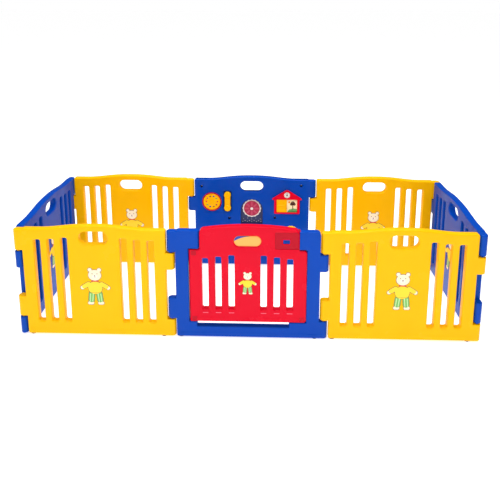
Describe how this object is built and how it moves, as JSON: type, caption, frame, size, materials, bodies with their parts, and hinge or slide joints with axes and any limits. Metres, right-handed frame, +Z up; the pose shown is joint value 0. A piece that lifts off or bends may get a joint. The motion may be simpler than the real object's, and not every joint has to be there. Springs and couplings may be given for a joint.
{
  "type": "folding playpen",
  "caption": "Free-standing folding playpen of hinged moulded panels, with a swinging gate, slatted sides and an activity panel of turning and sliding toys.",
  "frame": {"origin": "on the floor under the middle of the pen's bounding box", "axes": "+X along the long side, +Y from the gate row to the activity row, +Z up"},
  "size_m": [2.443, 0.843, 0.6319],
  "materials": {
    "yellow": "glossy moulded polyethylene",
    "blue": "glossy moulded polyethylene",
    "red": "glossy moulded polyethylene",
    "rubber": "matt grey rubber",
    "bear_print": "printed sticker",
    "badge_print": "printed sticker",
    "steel": "bright steel",
    "white": "glossy plastic",
    "picture_print": "printed card",
    "slate_print": "printed card",
    "maroon": "glossy plastic",
    "green": "glossy plastic",
    "pink": "glossy plastic",
    "black": "glossy plastic"
  },
  "bodies": {
    "front_left": {"front_left_panel": "yellow", "front_left_feet": "rubber", "front_left_bear": "bear_print"},
    "front_right": {"front_right_panel": "yellow", "front_right_feet": "rubber", "front_right_bear": "bear_print"},
    "right": {"right_panel": "blue", "right_feet": "rubber", "right_bear": "bear_print"},
    "back_right": {"back_right_panel": "yellow", "back_right_feet": "rubber", "back_right_bear": "bear_print"},
    "back_left": {"back_left_panel": "yellow", "back_left_feet": "rubber", "back_left_bear": "bear_print"},
    "left": {"left_panel": "blue", "left_feet": "rubber", "left_bear": "bear_print"},
    "gate": {"gate_frame": "blue", "gate_keeper": "blue", "gate_feet": "rubber"},
    "door": {"gate_door": "red", "gate_hinge_pins": "steel", "gate_badge": "badge_print", "gate_bear": "bear_print", "latch_spring": "steel"},
    "knob": {"latch_knob": "yellow"},
    "bolt": {"latch_bolt": "blue"},
    "button": {"latch_button": "blue"},
    "activity": {"activity_panel": "blue", "activity_feet": "rubber", "activity_rear_cover": "blue", "cover_screws": "steel", "phone_bezel": "red", "dial_pin": "white", "spinner_backplate": "slate_print", "spinner_axle": "white", "house_frame": "red", "house_picture": "picture_print", "clock_face": "white", "clock_pin": "black", "roller_tray": "green", "roller_axle": "steel", "flower_pin": "white"},
    "dial": {"phone_dial": "yellow"},
    "handset": {"phone_handset": "yellow"},
    "spinner": {"spinner_wheel": "maroon"},
    "house_door": {"house_door": "yellow"},
    "clock_hand": {"clock_hand": "black"},
    "roller_left": {"roller_left": "yellow"},
    "roller_middle": {"roller_middle": "red"},
    "roller_right": {"roller_right": "green"},
    "flower": {"flower_knob": "pink"}
  },
  "joints": [
    {"name": "fold", "type": "hinge", "parent": "gate", "child": "front_right", "pos_m": [0.4, -0.4, 0], "axis": [0, 0, 1], "range_deg": [0, 90]},
    {"name": "fold_right", "type": "hinge", "parent": "front_right", "child": "right", "pos_m": [1.2, -0.4, 0], "axis": [0, 0, 1], "range_deg": [-90, 0]},
    {"name": "fold_back_right", "type": "hinge", "parent": "right", "child": "back_right", "pos_m": [1.2, 0.4, 0], "axis": [0, 0, 1], "range_deg": [-90, 0]},
    {"name": "fold_activity", "type": "hinge", "parent": "back_right", "child": "activity", "pos_m": [0.4, 0.4, 0], "axis": [0, 0, 1], "range_deg": [0, 90]},
    {"name": "fold_front_left", "type": "hinge", "parent": "gate", "child": "front_left", "pos_m": [-0.4, -0.4, 0], "axis": [0, 0, 1], "range_deg": [-90, 0]},
    {"name": "fold_left", "type": "hinge", "parent": "front_left", "child": "left", "pos_m": [-1.2, -0.4, 0], "axis": [0, 0, 1], "range_deg": [0, 90]},
    {"name": "fold_back_left", "type": "hinge", "parent": "left", "child": "back_left", "pos_m": [-1.2, 0.4, 0], "axis": [0, 0, 1], "range_deg": [0, 90]},
    {"name": "door_swing", "type": "hinge", "parent": "gate", "child": "door", "pos_m": [-0.28, -0.4, 0.3], "axis": [0, 0, -1], "range_deg": [0, 100]},
    {"name": "knob_turn", "type": "hinge", "parent": "door", "child": "knob", "pos_m": [0.2228, -0.38, 0.572], "axis": [0, 1, 0], "range_deg": [0, 90]},
    {"name": "bolt_slide", "type": "slide", "parent": "door", "child": "bolt", "axis": [1, 0, 0], "range_m": [0, 0.012]},
    {"name": "button_press", "type": "slide", "parent": "door", "child": "button", "axis": [0, 1, 0], "range_m": [0, 0.0028], "stiffness_N_per_m": 400, "springref_m": -0.002, "deforming": ["latch_spring"]},
    {"name": "dial_turn", "type": "hinge", "parent": "activity", "child": "dial", "pos_m": [-0.263, 0.38, 0.45], "axis": [0, -1, 0], "continuous": true},
    {"name": "handset_lift", "type": "slide", "parent": "activity", "child": "handset", "axis": [0, -1, 0], "range_m": [0, 0.06]},
    {"name": "spinner_turn", "type": "hinge", "parent": "activity", "child": "spinner", "pos_m": [0, 0.38, 0.401], "axis": [0, -1, 0], "continuous": true},
    {"name": "house_door_slide", "type": "slide", "parent": "activity", "child": "house_door", "axis": [1, 0, 0], "range_m": [0, 0.071]},
    {"name": "clock_turn", "type": "hinge", "parent": "activity", "child": "clock_hand", "pos_m": [0.231, 0.38, 0.503], "axis": [0, -1, 0], "continuous": true},
    {"name": "roller_left_turn", "type": "hinge", "parent": "activity", "child": "roller_left", "pos_m": [0, 0.372, 0.122], "axis": [1, 0, 0], "continuous": true},
    {"name": "roller_middle_turn", "type": "hinge", "parent": "activity", "child": "roller_middle", "pos_m": [0, 0.372, 0.122], "axis": [1, 0, 0], "continuous": true},
    {"name": "roller_right_turn", "type": "hinge", "parent": "activity", "child": "roller_right", "pos_m": [0, 0.372, 0.122], "axis": [1, 0, 0], "continuous": true},
    {"name": "flower_turn", "type": "hinge", "parent": "activity", "child": "flower", "pos_m": [-0.217, 0.38, 0.124], "axis": [0, -1, 0], "continuous": true}
  ],
  "couplings": [
    {"joint": "fold_right", "follows": "fold", "ratio": -1},
    {"joint": "fold_back_right", "follows": "fold", "ratio": -1},
    {"joint": "fold_activity", "follows": "fold", "ratio": 1},
    {"joint": "fold_front_left", "follows": "fold", "ratio": -1},
    {"joint": "fold_left", "follows": "fold", "ratio": 1},
    {"joint": "fold_back_left", "follows": "fold", "ratio": 1},
    {"joint": "bolt_slide", "follows": "knob_turn", "m_per_rad": 0.0076394}
  ]
}
